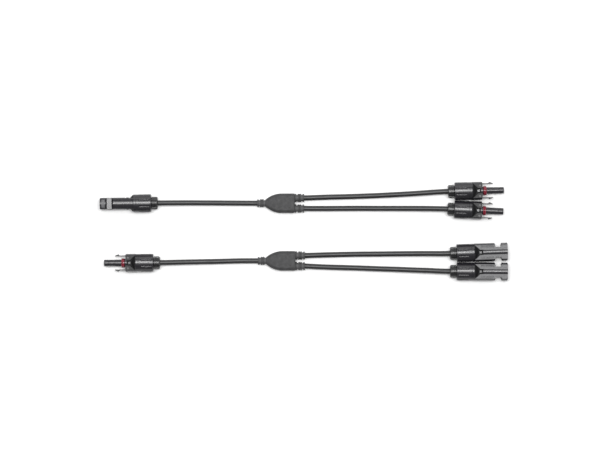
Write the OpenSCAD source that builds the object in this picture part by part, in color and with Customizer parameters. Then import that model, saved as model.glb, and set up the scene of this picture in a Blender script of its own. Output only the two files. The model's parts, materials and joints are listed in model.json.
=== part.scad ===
// Matched pair of Y-branch solar leads with latching single-pole cable connectors.
// Lead A joins one socket to two plugs, and lead B joins one plug to two sockets.
// X runs along the leads, Z is up, and both leads lie flat on Z = 0. Millimetres.

/* [Cable] */
// Outside diameter of the cable sheath
cable_d = 5.8; // [5.4:0.1:5.9]
// Diameter of the bare stranded conductor
conductor_d = 2.7; // [2.2:0.1:2.8]

/* [Connector housing] */
// Distance across the flats of the eight-sided grip
grip_af = 19.5; // [19.1:0.1:19.7]
// Width across the two wings in front of the grip
wing_w = 19.9; // [19.7:0.1:20.1]
// Thickness of the wings
wing_t = 12.0; // [11.6:0.1:12.4]
// Outside diameter of the round core that stands proud of the wings
core_d = 13.1; // [12.8:0.1:13.4]
// Distance from the connector's origin behind its nut to the plug's collar face
plug_collar = 37.9; // [37.5:0.1:38.5]
// Distance from the connector's origin behind its nut to a socket's front face
socket_len = 63.5; // [63:0.1:64]

/* [Plug] */
// Diameter of the slim barrel
barrel_d = 7.4; // [7.2:0.1:7.5]
// Length of the barrel in front of the collar
barrel_len = 23.7; // [23:0.1:24]
// Outside diameter of the red seal ring
ring_d = 10.4; // [10.2:0.1:10.6]
// Distance between the middles of the two latch arms
arm_pitch = 15.4; // [15.2:0.1:15.6]
// Thickness of a latch arm
arm_t = 1.3; // [1.1:0.1:1.4]
// Reach of the latch arms past the collar face
arm_reach = 11.8; // [11.6:0.1:12]

/* [Socket] */
// Diameter of the mouth that takes the seal ring
mouth_d = 10.0; // [9.9:0.1:10.1]
// Diameter of the deeper bore that takes the barrel
bore_d = 7.8; // [7.7:0.1:7.9]
// Diameter of the contact pin
pin_d = 4.0; // [3.9:0.1:4.0]
// Length of the lip in front of the latch windows
lip_len = 7.2; // [7:0.1:7.4]
// Length of each latch window along the socket
window_len = 7.0; // [6.8:0.1:7.2]

/* [Cap nut] */
// Outside diameter over the ribs of the nut
nut_d = 14.0; // [13.6:0.1:14.4]
// Length of the nut
nut_len = 7.0; // [6.6:0.1:7]
// Number of ribs round the nut
nut_ribs = 14; // [10:1:18]

/* [Splitter] */
// Width of the moulded splitter body
split_w = 21.4; // [21:0.1:21.6]
// Thickness of the moulded splitter body
split_t = 11.0; // [10.8:0.1:11.2]
// Distance between the two branch cables
branch_pitch = 11.7; // [11.5:0.1:11.9]

/* [Hidden] */
fn_round = 64;
gap = 0.15;
eps = 0.01;
cable_r = cable_d / 2;
conductor_r = conductor_d / 2;

// Stations along a connector, measured from a point on its axis just behind its nut.
nut_x = 0.2;
claw_x = 1.9;
spigot_x = 3.6;
seal_x = 7.6;
grip_x = 7.4;
seal_end_x = 14.7;
sheath_end_x = 15.0;
wing_x = 27.2;
ridge_x = 36.3;
tab_x = 32.2;
collar_rest_x = 29.0;
socket_wall_x = 39.0;
spigot_r = 5.6;
gland_r = 4.75;
chamber_r = 3.5;
thread_fit = 0.08;
barrel_bore_r = 2.95;
pin_guide_r = 2.3;
contact_bore_r = 2.05;

// Lead A and lead B splitters: rear end of the trunk relief, on the axis.
split_axis_z = split_t / 2;
SPLITTERS = [["a", [-50.8, 31.1, split_axis_z]], ["b", [-50.0, -32.3, split_axis_z]]];

// Connectors: name, kind, origin on the axis behind the nut, heading and roll in degrees.
flat_z = grip_af / 2;
CONNECTORS = [
    ["a_socket", "socket", [-159.9, 31.3, wing_w / 2], 180.8, 90],
    ["a_upper_plug", "plug", [158.6, 44.0, flat_z], 1.2, 0],
    ["a_lower_plug", "plug", [158.1, 24.7, flat_z], -2.5, 0],
    ["b_plug", "plug", [-157.5, -34.3, flat_z], 180.4, 0],
    ["b_upper_socket", "socket", [160.8, -24.1, flat_z], 1.9, 0],
    ["b_lower_socket", "socket", [160.9, -43.8, flat_z], -0.3, 0]
];

// Cable routes from the end of the sheath in the splitter to the end of the sheath in the
// connector. The two halves of a route part at its bending point.
ROUTES = [
    ["a_trunk_cable", "socket",
        [[-39.8, 31.1, 5.5], [-56, 31.1, 5.5], [-72, 31.2, 5.5], [-88, 31.3, 6.3],
         [-104.7, 31.4, 7.4]],
        [[-107.3, 31.4, 7.6], [-123, 31.5, 8.7], [-139, 31.45, 9.5], [-155, 31.35, 9.9],
         [-174.9, 31.1, 9.95]]],
    ["a_upper_cable", "plug",
        [[-12.8, 36.95, 5.5], [1.2, 36.95, 5.5], [10, 37.2, 5.5], [26, 37.8, 5.2], [43, 38.2, 5.2],
         [60, 38.7, 5.6], [78.7, 39.4, 6.3]],
        [[81.3, 39.5, 6.5], [99, 40.4, 7.4], [117, 41.4, 8.3], [135, 42.6, 9.1],
         [153, 43.8, 9.75], [173.6, 44.3, 9.75]]],
    ["a_lower_cable", "plug",
        [[-12.8, 25.25, 5.5], [1.2, 25.25, 5.5], [10, 25.2, 5.5], [26, 25.2, 5.2], [43, 25.3, 5.2],
         [60, 25.4, 5.6], [78.7, 25.3, 6.3]],
        [[81.3, 25.3, 6.5], [99, 25.3, 7.4], [117, 25.3, 8.3], [135, 25.2, 9.1],
         [153, 24.9, 9.75], [173.1, 24.05, 9.75]]],
    ["b_trunk_cable", "plug",
        [[-39, -32.3, 5.5], [-55, -32.3, 5.5], [-71, -32.4, 5.5], [-87, -32.8, 6.2],
         [-102.7, -33.2, 7.2]],
        [[-105.3, -33.2, 7.4], [-121, -33.5, 8.4], [-137, -33.8, 9.2], [-152, -34.2, 9.75],
         [-172.5, -34.4, 9.75]]],
    ["b_upper_cable", "socket",
        [[-12, -26.45, 5.5], [2, -26.45, 5.5], [11, -26.2, 5.5], [27, -25.7, 5.2],
         [44, -25.3, 5.2], [61, -25, 5.6], [79.7, -24.8, 6.3]],
        [[82.3, -24.8, 6.5], [100, -24.6, 7.4], [118, -24.4, 8.3], [136, -24.3, 9.1],
         [155, -24.3, 9.75], [175.8, -23.6, 9.75]]],
    ["b_lower_cable", "socket",
        [[-12, -38.15, 5.5], [2, -38.15, 5.5], [11, -38.6, 5.5], [27, -39.3, 5.2],
         [44, -39.8, 5.2], [61, -40.3, 5.6], [79.7, -41, 6.3]],
        [[82.3, -41.1, 6.5], [100, -41.6, 7.4], [118, -42.3, 8.3], [136, -42.9, 9.1],
         [155, -43.7, 9.75], [175.9, -43.9, 9.75]]]
];

COMMON_PARTS = ["housing", "cable_seal", "clamp_claw", "cap_nut"];
PLUG_PARTS = ["socket_contact", "contact_spring", "seal_ring", "latch_arm_left", "latch_arm_right"];
SOCKET_PARTS = ["pin_contact"];

function parts_of(kind) = concat(COMMON_PARTS, kind == "plug" ? PLUG_PARTS : SOCKET_PARTS);

// ---- Shared shapes ----

// A round bar along X.
module rod(x0, x1, r) {
    translate([x0, 0, 0]) rotate([0, 90, 0]) cylinder(h = x1 - x0, r = r, $fn = fn_round);
}

// An outline in Y and Z, drawn out along X.
module along_x(x0, x1) {
    translate([x0, 0, 0]) rotate([90, 0, 90]) linear_extrude(x1 - x0) children();
}

// An outline of X against radius, turned about X.
module turned() {
    rotate([0, 90, 0]) rotate_extrude($fn = fn_round) rotate([0, 0, 90]) mirror([0, 1, 0]) children();
}

module rounded_rect(w, h, r) {
    square([w - 2 * r, h], center = true);
    square([w, h - 2 * r], center = true);
    for (sx = [-1, 1])
        for (sy = [-1, 1])
            translate([sx * (w / 2 - r), sy * (h / 2 - r)]) circle(r = r, $fn = 32);
}

// ---- Connector housings ----

// Half of the valley in front of the grip, as X against the distance from the middle.
VALLEY = [[27, 8.4], [27.4, 8.1], [32.8, 3.2], [33.3, 2.85], [ridge_x, 2.85]];
valley_z = 5.0;

// End view of the grip: eight sides, with finger flutes beside four of them if fluted.
module grip_outline(fluted) {
    flute_angle = 20;
    flute_r = 1.5;
    flute_depth = 0.55;
    difference() {
        rotate(22.5) circle(r = grip_af / 2 / cos(22.5), $fn = 8);
        if (fluted)
            for (face = [0:90:270])
                for (side = [-1, 1])
                    rotate(face + side * flute_angle)
                        translate([grip_af / 2 / cos(flute_angle) + flute_r - flute_depth, 0])
                            circle(r = flute_r, $fn = 32);
    }
}

// The eight-sided grip, sloping down at the front into the valley between the wings.
module grip() {
    corner_r = grip_af / 2 / cos(22.5) + 0.05;
    chamfer = 0.7;
    flutes = [8.4, 21.2];
    nose_x = 31.6;
    slope = [[25.5, corner_r], [26.6, 10.05], [27.5, 9.3], [28.3, 8.55], [30.6, 5.95], [nose_x, 4.9]];
    outline = concat(
        [[grip_x, 0], [grip_x, corner_r - chamfer], [grip_x + chamfer, corner_r]],
        slope,
        [[nose_x, 0]]
    );
    intersection() {
        union() {
            along_x(grip_x, flutes[0]) grip_outline(false);
            along_x(flutes[0] - eps, flutes[1] + eps) grip_outline(true);
            along_x(flutes[1], nose_x) grip_outline(false);
        }
        turned() polygon(outline);
    }
}

// End view of the wings: a round bar with flat faces above and below.
module wing_outline() {
    intersection() {
        circle(d = wing_w, $fn = 128);
        square([wing_w + 1, wing_t], center = true);
    }
}

// The flat wings, parted by the valley above and below, with the round core proud of them.
module wings(front) {
    tab_w = 2.8;
    mirrored = [for (i = [len(VALLEY) - 1:-1:0]) [VALLEY[i][0], -VALLEY[i][1]]];
    difference() {
        along_x(wing_x, front) wing_outline();
        for (side = [0, 180])
            rotate([side, 0, 0])
                translate([0, 0, valley_z]) linear_extrude(3) polygon(concat(VALLEY, mirrored));
    }
    rod(ridge_x, front, core_d / 2);
    // Small raised tab at the tip of the valley, above and below.
    for (side = [0, 180])
        rotate([side, 0, 0])
            translate([tab_x, -tab_w / 2, valley_z - 0.5]) cube([2.8, tab_w, 2.1]);
}

// Shallow textured panels let into the wings, above and below.
module wing_panels(spans) {
    panel_y = 4.9;
    panel_w = 2.3;
    panel_depth = 0.4;
    for (side = [0, 180])
        rotate([side, 0, 0])
            for (s = spans)
                for (y = [-panel_y - panel_w, panel_y])
                    translate([s[0], y, wing_t / 2 - panel_depth]) cube([s[1] - s[0], panel_w, 1]);
}

// Gland, conductor chamber and threaded spigot that both housings share.
module rear_bores() {
    rod(spigot_x - eps, seal_end_x, gland_r);
    rod(seal_end_x - eps, collar_rest_x, chamber_r);
}

module plug_housing() {
    ring_seat = [39.1, 42.5];
    ring_seat_r = 3.4;
    tip_x = plug_collar + barrel_len;
    tip_wall = 1.2;
    pocket_x = 30.2;
    pocket_in = arm_pitch / 2 - 1.2;
    difference() {
        union() {
            rod(spigot_x, grip_x + eps, spigot_r);
            grip();
            wings(plug_collar);
            rod(plug_collar - eps, ring_seat[0], 4.4);
            turned() polygon([
                [ring_seat[0] - eps, 0], [ring_seat[0] - eps, ring_seat_r], [ring_seat[1], ring_seat_r],
                [ring_seat[1], barrel_d / 2], [tip_x - 0.5, barrel_d / 2],
                [tip_x, barrel_d / 2 - 0.4], [tip_x, 0]
            ]);
        }
        rear_bores();
        rod(collar_rest_x - eps, tip_x - tip_wall, barrel_bore_r);
        rod(tip_x - tip_wall - eps, tip_x + 1, pin_guide_r);
        // Pockets for the roots of the latch arms.
        for (side = [-1, 1])
            translate([pocket_x, side > 0 ? pocket_in : -pocket_in - 2, -2.35])
                cube([plug_collar - pocket_x + 1, 2, 4.7]);
        wing_panels([[33.9, 36.6]]);
    }
}

// One latch window seen from above: a sloping rear edge, a floor and a steep front.
module window_outline() {
    floor_y = 5.5;
    outer_y = 12;
    x1 = socket_len - lip_len;
    x0 = x1 - window_len;
    polygon([
        [x0, outer_y], [x0, wing_w / 2], [x0 + 0.9, 6.2], [x0 + 1.4, floor_y], [x1 - 0.5, floor_y],
        [x1, 5.9], [x1, 8.5], [x1 + 0.4, 9.3], [x1 + 1.2, wing_w / 2], [x1 + 1.2, outer_y]
    ]);
}

module socket_housing() {
    mouth_depth = 6.5;
    lip_ribs = [58.0, 59.6, 61.2];
    channel = [6.0, 8.6];
    difference() {
        union() {
            rod(spigot_x, grip_x + eps, spigot_r);
            grip();
            wings(socket_len);
        }
        rear_bores();
        rod(collar_rest_x - eps, socket_wall_x + eps, 2.65);
        rod(socket_wall_x, socket_len, bore_d / 2);
        rod(socket_len - mouth_depth, socket_len + 1, mouth_d / 2);
        for (flip = [0, 1])
            mirror([0, flip, 0]) {
                translate([0, 0, -8]) linear_extrude(16) window_outline();
                // Channel that the latch arm slides in through.
                translate([socket_len - lip_len - 1, channel[0], -2.6])
                    cube([lip_len + 2, channel[1] - channel[0], 5.2]);
                for (x = lip_ribs)
                    translate([x, wing_w / 2 - 0.35, -5]) cube([0.7, 1, 10]);
            }
        wing_panels([[33.9, 38.2], [39.0, 48.0]]);
    }
}

// ---- Parts inside a connector ----

// Rubber gland that grips the cable sheath.
module cable_seal_part() {
    difference() {
        rod(seal_x, seal_end_x, gland_r);
        rod(seal_x - 1, seal_end_x + 1, cable_r + 0.03);
        // Sealing grooves round the outside.
        for (x = [seal_x + 1.4, seal_x + 3.2, seal_x + 5.0])
            difference() {
                rod(x, x + 0.8, gland_r + 1);
                rod(x - 1, x + 2, gland_r - 0.5);
            }
    }
}

// Ring of fingers that the nut drives onto the seal.
module clamp_claw_part() {
    claw_r = gland_r - gap;
    finger_slots = 6;
    difference() {
        union() {
            rod(claw_x, spigot_x - 0.3, 5.1);
            rod(claw_x, seal_x - 0.1, claw_r);
        }
        rod(claw_x - 1, seal_x + 1, cable_r + gap);
        for (i = [0:finger_slots - 1])
            rotate([i * 360 / finger_slots, 0, 0])
                translate([spigot_x, -0.4, cable_r - 1]) cube([seal_x, 0.8, 4]);
    }
}

// Ribbed clamping nut that screws onto the spigot.
module cap_nut_part() {
    base_r = nut_d / 2 - 0.55;
    rib_w = 1.5;
    rear_wall = 1.1;
    translate([nut_x, 0, 0]) difference() {
        union() {
            turned() polygon([
                [0, 0], [0, base_r - 0.6], [0.6, base_r], [nut_len, base_r], [nut_len, 0]
            ]);
            intersection() {
                rod(0.6, nut_len - 0.5, nut_d / 2);
                for (i = [0:nut_ribs - 1])
                    rotate([i * 360 / nut_ribs, 0, 0])
                        translate([0, -rib_w / 2, base_r - 1]) cube([nut_len, rib_w, 2]);
            }
        }
        rod(-1, rear_wall + 1, cable_r + 0.3);
        rod(rear_wall, nut_len + 1, spigot_r + thread_fit);
    }
}

// Crimp barrel, conductor end and locating collar that both contacts share.
module contact_rear() {
    rod(sheath_end_x, 17, conductor_r);
    rod(16.2, 24, 2.3);
    rod(23.9, 26.1, 1.9);
    rod(26, collar_rest_x - 0.05, chamber_r - 0.1);
}

// Tubular contact in the plug, slotted into four fingers.
module socket_contact_part() {
    mouth_x = 59;
    bore_depth = 18;
    slot_w = 0.45;
    difference() {
        union() {
            contact_rear();
            rod(collar_rest_x - 0.1, 40, barrel_bore_r - 0.1);
            rod(40 - eps, mouth_x, 2.6);
        }
        rod(mouth_x - bore_depth, mouth_x + 1, contact_bore_r);
        for (a = [45, 135])
            rotate([a, 0, 0]) translate([mouth_x - 12, -slot_w / 2, -4]) cube([13, slot_w, 8]);
    }
}

// Split steel sleeve that presses the contact's fingers in.
module contact_spring_part() {
    span = [46, 56];
    difference() {
        rod(span[0], span[1], barrel_bore_r - 0.05);
        rod(span[0] - 1, span[1] + 1, 2.62);
        translate([span[0] - 1, -0.5, 0]) cube([span[1] - span[0] + 2, 1, 4]);
    }
}

// Solid round contact in the socket.
module pin_contact_part() {
    tip_x = 55.5;
    contact_rear();
    rod(collar_rest_x - 0.1, socket_wall_x, 2.6);
    turned() polygon([
        [socket_wall_x - eps, 0], [socket_wall_x - eps, pin_d / 2], [tip_x - 1.2, pin_d / 2],
        [tip_x - 0.4, pin_d / 2 - 0.6], [tip_x, 0.7], [tip_x, 0]
    ]);
}

// Red seal ring with two round lips.
module seal_ring_part() {
    seat_r = 3.42;
    lip_r = 0.85;
    turned() difference() {
        union() {
            translate([39.15, seat_r]) square([3.3, 1.3]);
            for (x = [40.0, 41.6])
                translate([x, ring_d / 2 - lip_r]) circle(r = lip_r, $fn = 32);
        }
        translate([38, 0]) square([6, seat_r]);
    }
}

// Springy latch arm with an outward barb. side is 1 on the left and -1 on the right.
module latch_arm_part(side) {
    root_x = 30.5;
    tip_x = plug_collar + arm_reach;
    catch_x = plug_collar + lip_len + 0.2;
    y_in = arm_pitch / 2 - arm_t / 2;
    y_out = arm_pitch / 2 + arm_t / 2;
    barb = 1.1;
    arm_h = 4.4;
    mirror([0, side < 0 ? 1 : 0, 0])
        translate([0, 0, -arm_h / 2])
            linear_extrude(arm_h)
                polygon([
                    [root_x, y_in], [tip_x - 0.4, y_in], [tip_x, y_in + 0.3], [tip_x, y_in + 0.7],
                    [catch_x + 1.2, y_out + barb], [catch_x, y_out + barb], [catch_x - 0.3, y_out],
                    [root_x, y_out]
                ]);
}

// ---- Splitter ----

trunk_sheath_x = 11;
branch_sheath_x = 38;

// Copper ferrule and the three bare conductor ends crimped in it.
module splice_shape() {
    ferrule = [15, 26];
    fork_x = 24.5;
    fork_y = 1.7;
    along = branch_sheath_x - 0.6 - fork_x;
    aside = branch_pitch / 2 - fork_y;
    rod(trunk_sheath_x, ferrule[0] + eps, conductor_r);
    rod(ferrule[0], ferrule[1], 3.3);
    for (side = [-1, 1]) {
        translate([fork_x, side * fork_y, 0])
            rotate([0, 0, side * atan2(aside, along)]) rod(0, along - 0.1, conductor_r);
        translate([0, side * branch_pitch / 2, 0])
            rod(branch_sheath_x - 1.8, branch_sheath_x, conductor_r + 0.1);
    }
}

// Outline whose front half is a lens of two arcs, closing on the axis.
module ogive(x, half_w, r) {
    intersection() {
        translate([x, half_w - r]) circle(r = r, $fn = 180);
        translate([x, r - half_w]) circle(r = r, $fn = 180);
    }
}

// Bullet-nosed body seen from above, inside a side view and an end view of the same mould.
module splitter_body() {
    nose_x = 8.4;
    full_x = 27;
    end_x = 41.3;
    plan_r = 27.2;
    side_r = 92;
    corner = 1.2;
    intersection() {
        linear_extrude(split_t, center = true) {
            intersection() {
                ogive(full_x, split_w / 2, plan_r);
                translate([nose_x, -split_w]) square([full_x - nose_x, 2 * split_w]);
            }
            translate([full_x - eps, -split_w / 2]) square([end_x - corner - full_x, split_w]);
            translate([full_x, corner - split_w / 2])
                square([end_x - full_x, split_w - 2 * corner]);
            for (side = [-1, 1])
                translate([end_x - corner, side * (split_w / 2 - corner)]) circle(r = corner, $fn = 32);
        }
        along_x(0, end_x) rounded_rect(split_w, split_t, 3.6);
        rotate([90, 0, 0]) linear_extrude(2 * split_w, center = true) {
            intersection() {
                ogive(full_x, split_t / 2, side_r);
                translate([0, -split_t]) square([full_x, 2 * split_t]);
            }
            translate([full_x - eps, -split_t / 2]) square([end_x, split_t]);
        }
    }
}

// Ribbed strain relief: one entry per ring or groove, as start, end and radius.
module relief(bands) {
    for (b = bands)
        rod(b[0], b[1] + eps, b[2]);
}

TRUNK_BANDS = [[0, 1.6, 4.2], [1.6, 3, 3.3], [3, 4.8, 4.5], [4.8, 5.3, 4.0], [5.3, 7, 4.5],
    [7, 8.5, 3.3], [8.5, 10, 3.6]];
BRANCH_BANDS = [[41.2, 42.9, 4.6], [42.9, 44.4, 3.3], [44.4, 46.2, 4.5], [46.2, 46.6, 4.0],
    [46.6, 48.3, 4.5], [48.3, 49.9, 3.3], [49.9, 51.4, 4.4]];

module splitter_overmould() {
    pits = [[17.8, 0], [35.2, 5.2], [35.2, -5.2]];
    difference() {
        union() {
            splitter_body();
            relief(TRUNK_BANDS);
            for (side = [-1, 1])
                translate([0, side * branch_pitch / 2, 0]) relief(BRANCH_BANDS);
        }
        rod(-1, trunk_sheath_x, cable_r + 0.02);
        for (side = [-1, 1])
            translate([0, side * branch_pitch / 2, 0])
                rod(branch_sheath_x, 60, cable_r + 0.02);
        splice_shape();
        for (p = pits)
            translate([p[0], p[1], split_t / 2 - 0.5]) cylinder(h = 2, d = 1.5, $fn = 24);
    }
}

// ---- Cables ----

tube_sides = 10;
tip_back = 1.15;
tip_r = 0.8;

function unit(v) = v / norm(v);
function heading_at(p, i) = unit(p[min(i + 1, len(p) - 1)] - p[max(i - 1, 0)]);
function ring_at(c, t, r) =
    let (across = unit(cross(t, [0, 0, 1])), up = cross(across, t))
    [for (k = [0:tube_sides - 1])
        c + r * (cos(360 * k / tube_sides) * across + sin(360 * k / tube_sides) * up)];

// A half cable along points, its last ring drawn in to a blunt tip at the bending point.
module half_cable(points) {
    n = len(points);
    last_t = heading_at(points, n - 1);
    rings = concat(
        [for (i = [0:n - 1]) ring_at(points[i], heading_at(points, i), cable_r)],
        [ring_at(points[n - 1] + tip_back * last_t, last_t, tip_r)]
    );
    sides = [for (i = [0:n - 1]) for (k = [0:tube_sides - 1])
        [i * tube_sides + k, i * tube_sides + (k + 1) % tube_sides,
         (i + 1) * tube_sides + (k + 1) % tube_sides, (i + 1) * tube_sides + k]];
    start_cap = [[for (k = [tube_sides - 1:-1:0]) k]];
    end_cap = [[for (k = [0:tube_sides - 1]) n * tube_sides + k]];
    polyhedron([for (r = rings) each r], concat(sides, start_cap, end_cap), convexity = 4);
}

function reversed(list) = [for (i = [len(list) - 1:-1:0]) list[i]];

// ---- Sub-parts in place ----

module in_splitter(s) {
    translate(s[1]) children();
}

module in_connector(c) {
    translate(c[2]) rotate([0, 0, c[3]]) rotate([c[4], 0, 0]) children();
}

module connector_part(kind, part) {
    if (part == "housing" && kind == "plug")
        color([0.13, 0.13, 0.14]) plug_housing();
    if (part == "housing" && kind == "socket")
        color([0.16, 0.16, 0.17]) socket_housing();
    if (part == "cable_seal")
        color([0.35, 0.35, 0.36]) cable_seal_part();
    if (part == "clamp_claw")
        color([0.75, 0.75, 0.72]) clamp_claw_part();
    if (part == "cap_nut")
        color([0.08, 0.08, 0.09]) cap_nut_part();
    if (part == "socket_contact")
        color([0.8, 0.8, 0.78]) socket_contact_part();
    if (part == "contact_spring")
        color([0.6, 0.62, 0.65]) contact_spring_part();
    if (part == "pin_contact")
        color([0.8, 0.8, 0.78]) pin_contact_part();
    if (part == "seal_ring")
        color([0.72, 0.12, 0.2]) seal_ring_part();
    if (part == "latch_arm_left")
        color([0.2, 0.2, 0.21]) latch_arm_part(1);
    if (part == "latch_arm_right")
        color([0.2, 0.2, 0.21]) latch_arm_part(-1);
}

for (s = SPLITTERS) {
    in_splitter(s) color([0.22, 0.22, 0.23]) splitter_overmould();
    in_splitter(s) color([0.75, 0.45, 0.3]) splice_shape();
}

for (r = ROUTES) {
    color([0.1, 0.1, 0.1]) half_cable(r[2]);
    color([0.1, 0.1, 0.1]) half_cable(reversed(r[3]));
}

for (c = CONNECTORS)
    for (p = parts_of(c[1]))
        in_connector(c) connector_part(c[1], p);
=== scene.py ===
"""A matched pair of Y-branch solar leads with six latching connectors.

Connector pieces are made once in a connector's own frame, in millimetres: X runs from the rear
face of the cap nut towards the mating end, Y across the wings and Z up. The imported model's joints
then say where each connector lies.
"""
import json
import math

import bmesh
import bpy
import numpy as np
from mathutils import Matrix, Vector


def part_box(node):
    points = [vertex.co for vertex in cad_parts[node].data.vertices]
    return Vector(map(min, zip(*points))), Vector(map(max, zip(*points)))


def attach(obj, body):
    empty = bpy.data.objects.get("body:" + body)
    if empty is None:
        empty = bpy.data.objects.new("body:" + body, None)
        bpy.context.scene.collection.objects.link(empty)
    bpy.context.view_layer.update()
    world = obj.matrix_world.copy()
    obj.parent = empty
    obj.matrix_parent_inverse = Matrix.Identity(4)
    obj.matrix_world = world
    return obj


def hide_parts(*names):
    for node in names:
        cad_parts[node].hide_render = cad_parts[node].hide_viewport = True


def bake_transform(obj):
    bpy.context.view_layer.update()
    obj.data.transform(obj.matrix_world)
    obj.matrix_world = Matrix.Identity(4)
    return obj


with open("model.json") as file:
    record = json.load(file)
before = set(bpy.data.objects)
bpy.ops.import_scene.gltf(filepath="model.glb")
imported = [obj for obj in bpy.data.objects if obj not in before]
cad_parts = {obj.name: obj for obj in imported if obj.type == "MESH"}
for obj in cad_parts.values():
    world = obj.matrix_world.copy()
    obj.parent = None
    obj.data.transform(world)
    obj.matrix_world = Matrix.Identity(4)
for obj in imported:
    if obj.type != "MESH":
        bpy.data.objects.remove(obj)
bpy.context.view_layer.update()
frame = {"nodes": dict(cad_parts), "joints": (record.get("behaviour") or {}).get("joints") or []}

MM = 0.001
NODES = frame["nodes"]
JOINTS = {joint["name"]: joint for joint in frame["joints"]}

PLUGS = ("a_upper_plug", "a_lower_plug", "b_plug")
SOCKETS = ("a_socket", "b_upper_socket", "b_lower_socket")
ROLLED = {"a_socket": 90.0}


def link_object(name, data):
    """A new object in the scene."""
    made = bpy.data.objects.new(name, data)
    bpy.context.scene.collection.objects.link(made)
    return made


# ---------------------------------------------------------------- camera

# The width of the view at the aim point, the aim point, and the camera's height above it.
VIEW_WIDTH = 0.66
VIEW_AIM = (-0.0038, 0.0071, 0.008)
CAMERA_HEIGHT = 3.0


def make_camera():
    data = bpy.data.cameras.new("camera")
    data.sensor_width = 36.0
    data.lens = data.sensor_width * CAMERA_HEIGHT / VIEW_WIDTH
    data.clip_start = 0.05
    data.clip_end = 20.0
    camera = link_object("camera", data)
    camera.location = (VIEW_AIM[0], VIEW_AIM[1], VIEW_AIM[2] + CAMERA_HEIGHT)
    bpy.context.scene.camera = camera


make_camera()

# ---------------------------------------------------------------- materials


def new_material(name, colour, roughness):
    """A new material, its node tree and its Principled shader."""
    material = bpy.data.materials.new(name)
    material.use_nodes = True
    tree = material.node_tree
    shader = tree.nodes["Principled BSDF"]
    shader.inputs["Base Color"].default_value = (*colour, 1.0)
    shader.inputs["Roughness"].default_value = roughness
    return material, tree, shader


def texture_coordinates(tree, stretch=(1.0, 1.0, 1.0)):
    """Object coordinates, so the texture stays on the piece as it moves."""
    coordinates = tree.nodes.new("ShaderNodeTexCoord")
    mapping = tree.nodes.new("ShaderNodeMapping")
    mapping.inputs["Scale"].default_value = stretch
    tree.links.new(coordinates.outputs["Object"], mapping.inputs["Vector"])
    return mapping.outputs["Vector"]


def noise(tree, vector, scale, detail=3.0, rough=0.55):
    node = tree.nodes.new("ShaderNodeTexNoise")
    node.inputs["Scale"].default_value = scale
    node.inputs["Detail"].default_value = detail
    node.inputs["Roughness"].default_value = rough
    tree.links.new(vector, node.inputs["Vector"])
    return node.outputs["Fac"]


def remap(tree, value, low, high, start=0.3, end=0.7):
    node = tree.nodes.new("ShaderNodeMapRange")
    node.inputs["From Min"].default_value = start
    node.inputs["From Max"].default_value = end
    node.inputs["To Min"].default_value = low
    node.inputs["To Max"].default_value = high
    tree.links.new(value, node.inputs["Value"])
    return node.outputs["Result"]


def blend_colours(tree, factor, first, second):
    node = tree.nodes.new("ShaderNodeMix")
    node.data_type = "RGBA"
    for socket, value in (("A", first), ("B", second)):
        inputs = [i for i in node.inputs if i.name == socket and i.type == "RGBA"]
        if isinstance(value, tuple):
            inputs[0].default_value = (*value, 1.0)
        else:
            tree.links.new(value, inputs[0])
    tree.links.new(factor, node.inputs["Factor"])
    return [o for o in node.outputs if o.type == "RGBA"][0]


def add_bump(tree, shader, heights):
    """Stacks bumps, each a (height, strength, distance in metres) triple."""
    normal = None
    for height, strength, distance in heights:
        bump = tree.nodes.new("ShaderNodeBump")
        bump.inputs["Strength"].default_value = strength
        bump.inputs["Distance"].default_value = distance
        tree.links.new(height, bump.inputs["Height"])
        if normal is not None:
            tree.links.new(normal, bump.inputs["Normal"])
        normal = bump.outputs["Normal"]
    tree.links.new(normal, shader.inputs["Normal"])


def edge_wear(tree, low=0.52, high=0.6):
    """From 0 on flats to 1 on convex edges, where a moulding gets rubbed."""
    geometry = tree.nodes.new("ShaderNodeNewGeometry")
    return remap(tree, geometry.outputs["Pointiness"], 0.0, 1.0, low, high)


def moulded(name, dark, light, rough, grain, grain_depth, grain_strength, wear, specular=0.5,
            mottle=220.0, unevenness=0.15):
    """Moulded plastic: mottled colour, spark-eroded grain, rubbed edges and uneven gloss."""
    material, tree, shader = new_material(name, dark, rough[0])
    shader.inputs["Specular IOR Level"].default_value = specular
    vector = texture_coordinates(tree)
    broad = noise(tree, vector, mottle, 4.0)
    fine = noise(tree, vector, grain, 2.0, 0.6)
    colour = blend_colours(tree, remap(tree, broad, 0.0, 1.0), dark, light)
    colour = blend_colours(tree, edge_wear(tree), colour, wear)
    tree.links.new(colour, shader.inputs["Base Color"])
    gloss = remap(tree, noise(tree, vector, mottle * 2.3, 3.0), rough[0], rough[1])
    tree.links.new(gloss, shader.inputs["Roughness"])
    add_bump(tree, shader, [(fine, grain_strength, grain_depth * MM),
                            (broad, unevenness, 0.02 * MM)])
    return material


def sheath_material():
    """Extruded cable sheath: fine lines along the cable, faint scuffs and dusty patches."""
    material, tree, shader = new_material("cable_sheath", (0.02, 0.02, 0.021), 0.45)
    shader.inputs["Specular IOR Level"].default_value = 0.5
    along = texture_coordinates(tree, (0.04, 1.0, 1.0))
    even = texture_coordinates(tree)
    lines = noise(tree, along, 2600.0, 2.0)
    patches = noise(tree, even, 160.0, 4.0)
    colour = blend_colours(tree, remap(tree, patches, 0.0, 1.0), (0.007, 0.007, 0.008),
                           (0.014, 0.014, 0.015))
    tree.links.new(colour, shader.inputs["Base Color"])
    tree.links.new(remap(tree, patches, 0.34, 0.46), shader.inputs["Roughness"])
    add_bump(tree, shader, [(lines, 0.25, 0.03 * MM), (noise(tree, even, 3800.0), 0.2, 0.02 * MM)])
    return material


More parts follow.
